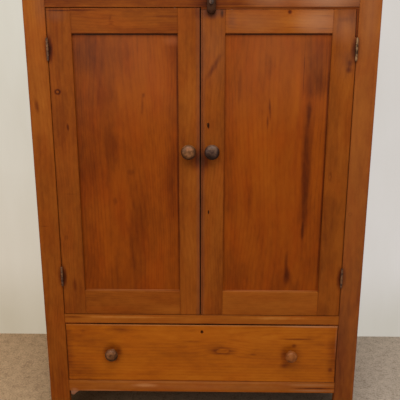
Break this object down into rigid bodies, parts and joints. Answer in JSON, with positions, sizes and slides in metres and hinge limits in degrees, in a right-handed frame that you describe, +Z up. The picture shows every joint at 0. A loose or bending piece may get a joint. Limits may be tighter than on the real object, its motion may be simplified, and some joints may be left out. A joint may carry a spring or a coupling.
{
  "type": "jelly cupboard",
  "caption": "Wooden jelly cupboard with framed panel doors over a wide drawer, shelves inside, turned knobs, a turn button and feet cut from its posts and sides.",
  "frame": {"origin": "middle of the footprint on the floor; the depth runs from the knobs' faces to the back boards", "axes": "+Z up, +X to the right seen from the front, the doors and the drawer face -Y"},
  "size_m": [1.094, 0.486, 1.5],
  "materials": {
    "frame_wood": "old varnish, satin",
    "panel_wood": "old varnish, satin",
    "drawer_wood": "old varnish, satin",
    "inner_wood": "bare, aged",
    "pale_knob_wood": "turned, varnished",
    "dark_knob_wood": "turned, dark stained",
    "button_wood": "dark, worn",
    "worn_steel": "worn, dull",
    "old_brass": "tarnished"
  },
  "bodies": {
    "case": {"left_front_post": "frame_wood", "right_front_post": "frame_wood", "left_side_board": "frame_wood", "right_side_board": "frame_wood", "left_drawer_runner": "inner_wood", "right_drawer_runner": "inner_wood", "left_drawer_kicker": "inner_wood", "right_drawer_kicker": "inner_wood", "left_drawer_stop": "inner_wood", "right_drawer_stop": "inner_wood", "left_upper_hinge_post_leaf": "worn_steel", "left_lower_hinge_post_leaf": "worn_steel", "right_upper_hinge_post_leaf": "worn_steel", "right_lower_hinge_post_leaf": "worn_steel", "case_top_rail": "frame_wood", "drawer_divider_rail": "frame_wood", "bottom_rail": "frame_wood", "top_board": "frame_wood", "cupboard_floor": "inner_wood", "shelf_1": "inner_wood", "shelf_2": "inner_wood", "turn_button_screw": "worn_steel", "back_board_1": "inner_wood", "back_board_2": "inner_wood", "back_board_3": "inner_wood", "back_board_4": "inner_wood", "back_board_5": "inner_wood"},
    "turn_button": {"turn_button": "button_wood"},
    "left_door": {"left_door_hinge_stile": "frame_wood", "left_door_meeting_stile": "frame_wood", "left_door_top_rail": "frame_wood", "left_door_bottom_rail": "frame_wood", "left_door_panel": "panel_wood", "left_door_knob": "pale_knob_wood", "left_upper_hinge_door_leaf": "worn_steel", "left_lower_hinge_door_leaf": "worn_steel", "left_door_strike_plate": "old_brass", "left_door_catch_screw": "worn_steel"},
    "left_door_catch": {"left_door_catch": "button_wood"},
    "right_door": {"right_door_hinge_stile": "frame_wood", "right_door_meeting_stile": "frame_wood", "right_door_top_rail": "frame_wood", "right_door_bottom_rail": "frame_wood", "right_door_panel": "panel_wood", "right_door_knob": "dark_knob_wood", "right_upper_hinge_door_leaf": "worn_steel", "right_lower_hinge_door_leaf": "worn_steel", "door_lock_case": "old_brass"},
    "door_lock_bolt": {"door_lock_bolt": "worn_steel"},
    "drawer": {"drawer_front": "drawer_wood", "left_drawer_side": "inner_wood", "right_drawer_side": "inner_wood", "drawer_back": "inner_wood", "drawer_bottom": "inner_wood", "left_drawer_knob": "pale_knob_wood", "right_drawer_knob": "pale_knob_wood", "drawer_lock_case": "old_brass"},
    "drawer_lock_bolt": {"drawer_lock_bolt": "worn_steel"}
  },
  "joints": [
    {"name": "left_door_hinge", "type": "hinge", "parent": "case", "child": "left_door", "pos_m": [-0.46, -0.2108, 0.9], "axis": [0, 0, -1], "range_deg": [0, 165]},
    {"name": "right_door_hinge", "type": "hinge", "parent": "case", "child": "right_door", "pos_m": [0.46, -0.2108, 0.9], "axis": [0, 0, 1], "range_deg": [0, 165]},
    {"name": "drawer_slide", "type": "slide", "parent": "case", "child": "drawer", "axis": [0, -1, 0], "range_m": [0, 0.33]},
    {"name": "turn_button_pivot", "type": "hinge", "parent": "case", "child": "turn_button", "pos_m": [0.029, -0.207, 1.4025], "axis": [0, 1, 0], "range_deg": [-90, 90]},
    {"name": "left_door_catch_pivot", "type": "hinge", "parent": "left_door", "child": "left_door_catch", "pos_m": [-0.0375, -0.185, 1.37], "axis": [0, 1, 0], "range_deg": [0, 90]},
    {"name": "door_lock_throw", "type": "slide", "parent": "right_door", "child": "door_lock_bolt", "axis": [-1, 0, 0], "range_m": [0, 0.009]},
    {"name": "drawer_lock_throw", "type": "slide", "parent": "drawer", "child": "drawer_lock_bolt", "axis": [0, 0, 1], "range_m": [0, 0.009]}
  ]
}
